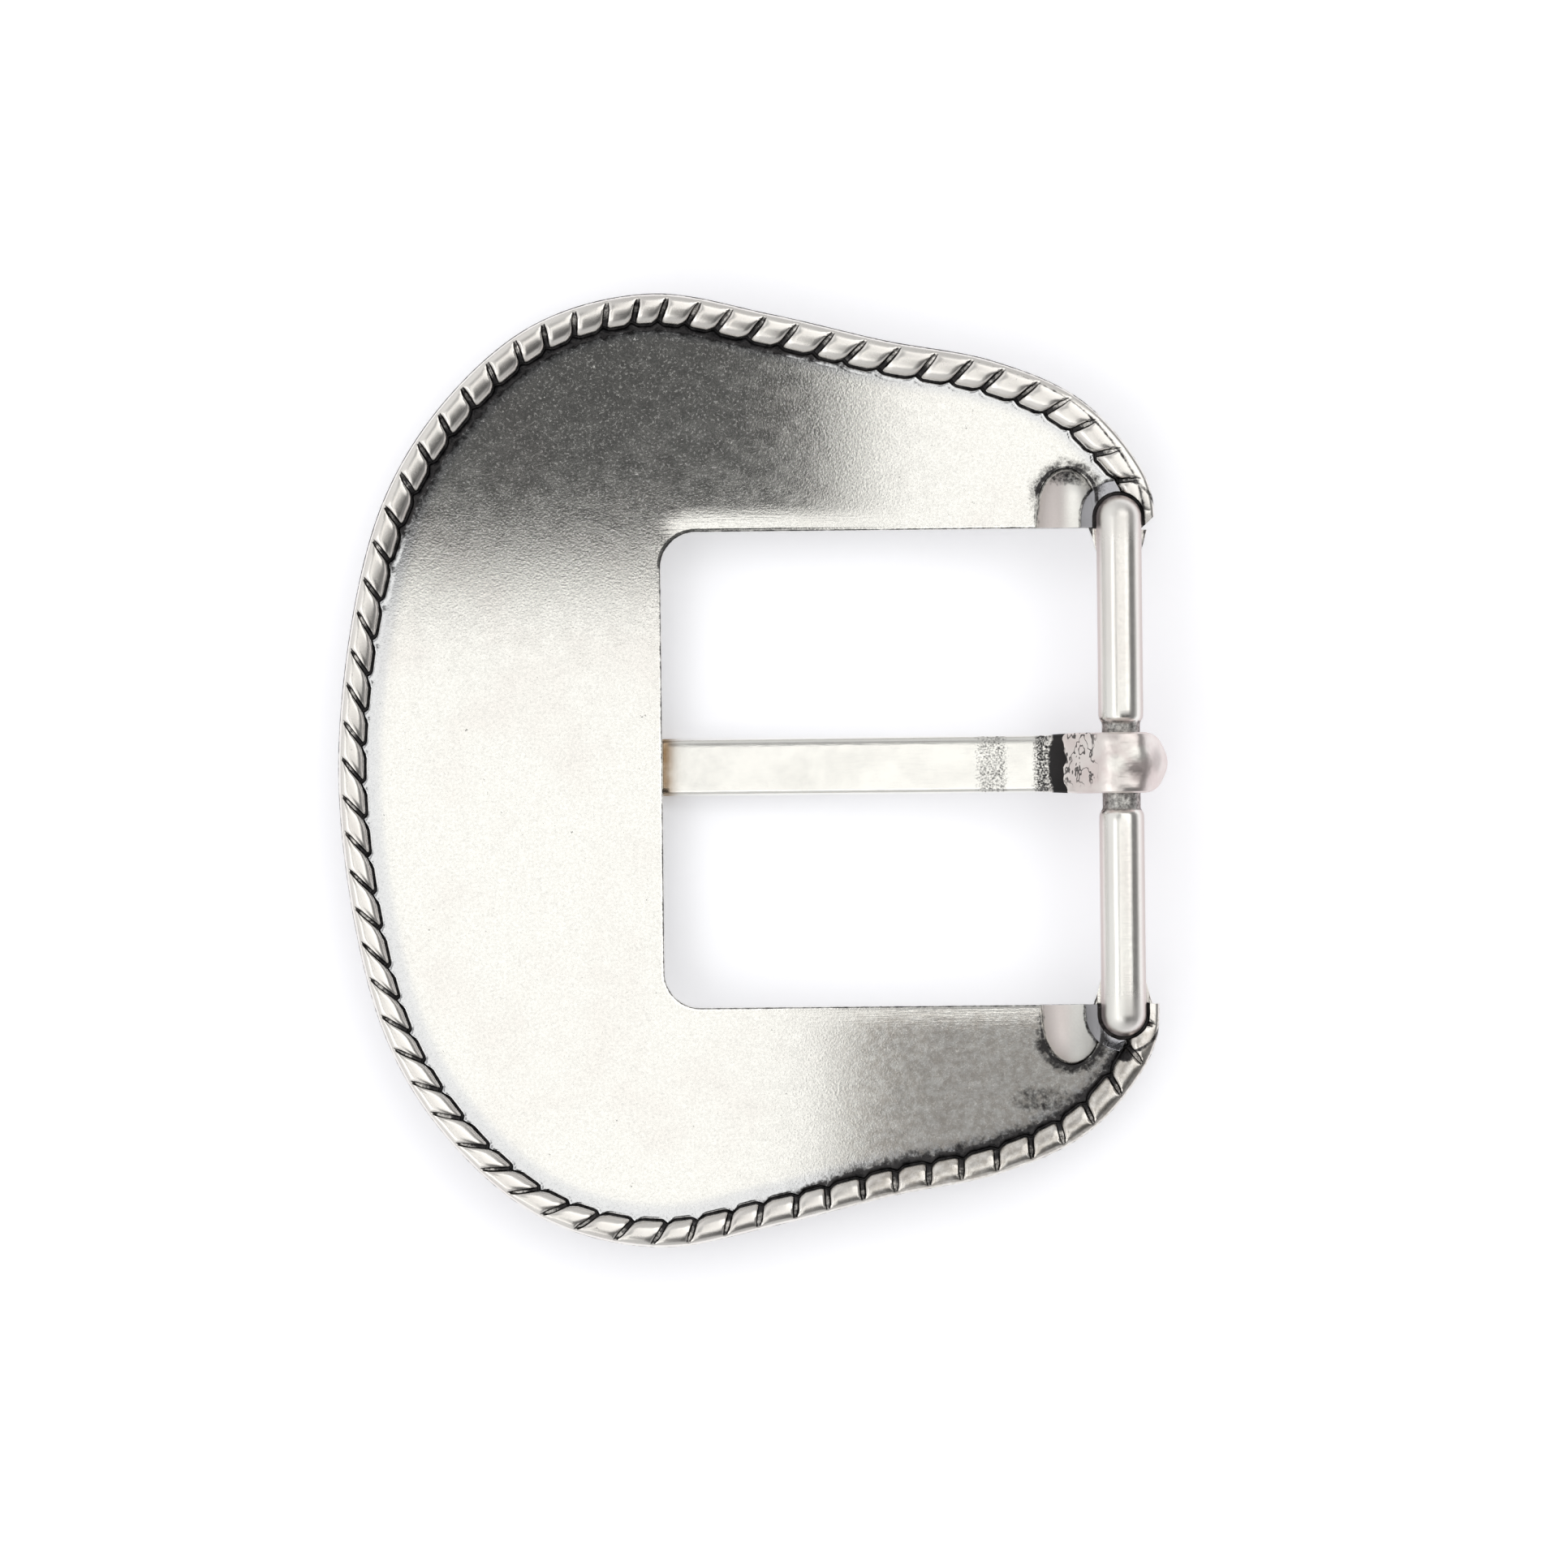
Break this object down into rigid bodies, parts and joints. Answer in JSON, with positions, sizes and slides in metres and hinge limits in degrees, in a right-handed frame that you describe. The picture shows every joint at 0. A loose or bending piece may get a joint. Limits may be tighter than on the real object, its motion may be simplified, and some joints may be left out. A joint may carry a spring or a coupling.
{
  "type": "belt buckle",
  "caption": "Dished western belt buckle with a roped edge, an open strap window, a turned strap bar and a loose swinging tongue.",
  "frame": {"origin": "middle of the strap bar, on its axis", "axes": "+Y along the strap bar, -X out to the far edge of the casting, +Z out of the back, which is the side where the bar is seated"},
  "size_m": [0.0697, 0.0802, 0.0119],
  "materials": {
    "casting_metal": "antique silver plate over zinc alloy, satin, blackened in the recesses",
    "bar_metal": "silver plated steel, drawn, dull dark neck",
    "tongue_metal": "silver plated strip, worn, brown tarnish where it meets the plate"
  },
  "bodies": {
    "casting": {"frame": "casting_metal", "strap_bar": "bar_metal"},
    "tongue": {"tongue": "tongue_metal"}
  },
  "joints": [
    {"name": "tongue_swing", "type": "hinge", "parent": "casting", "child": "tongue", "pos_m": [0, 0, 0], "axis": [0, -1, 0], "range_deg": [0, 340]}
  ]
}
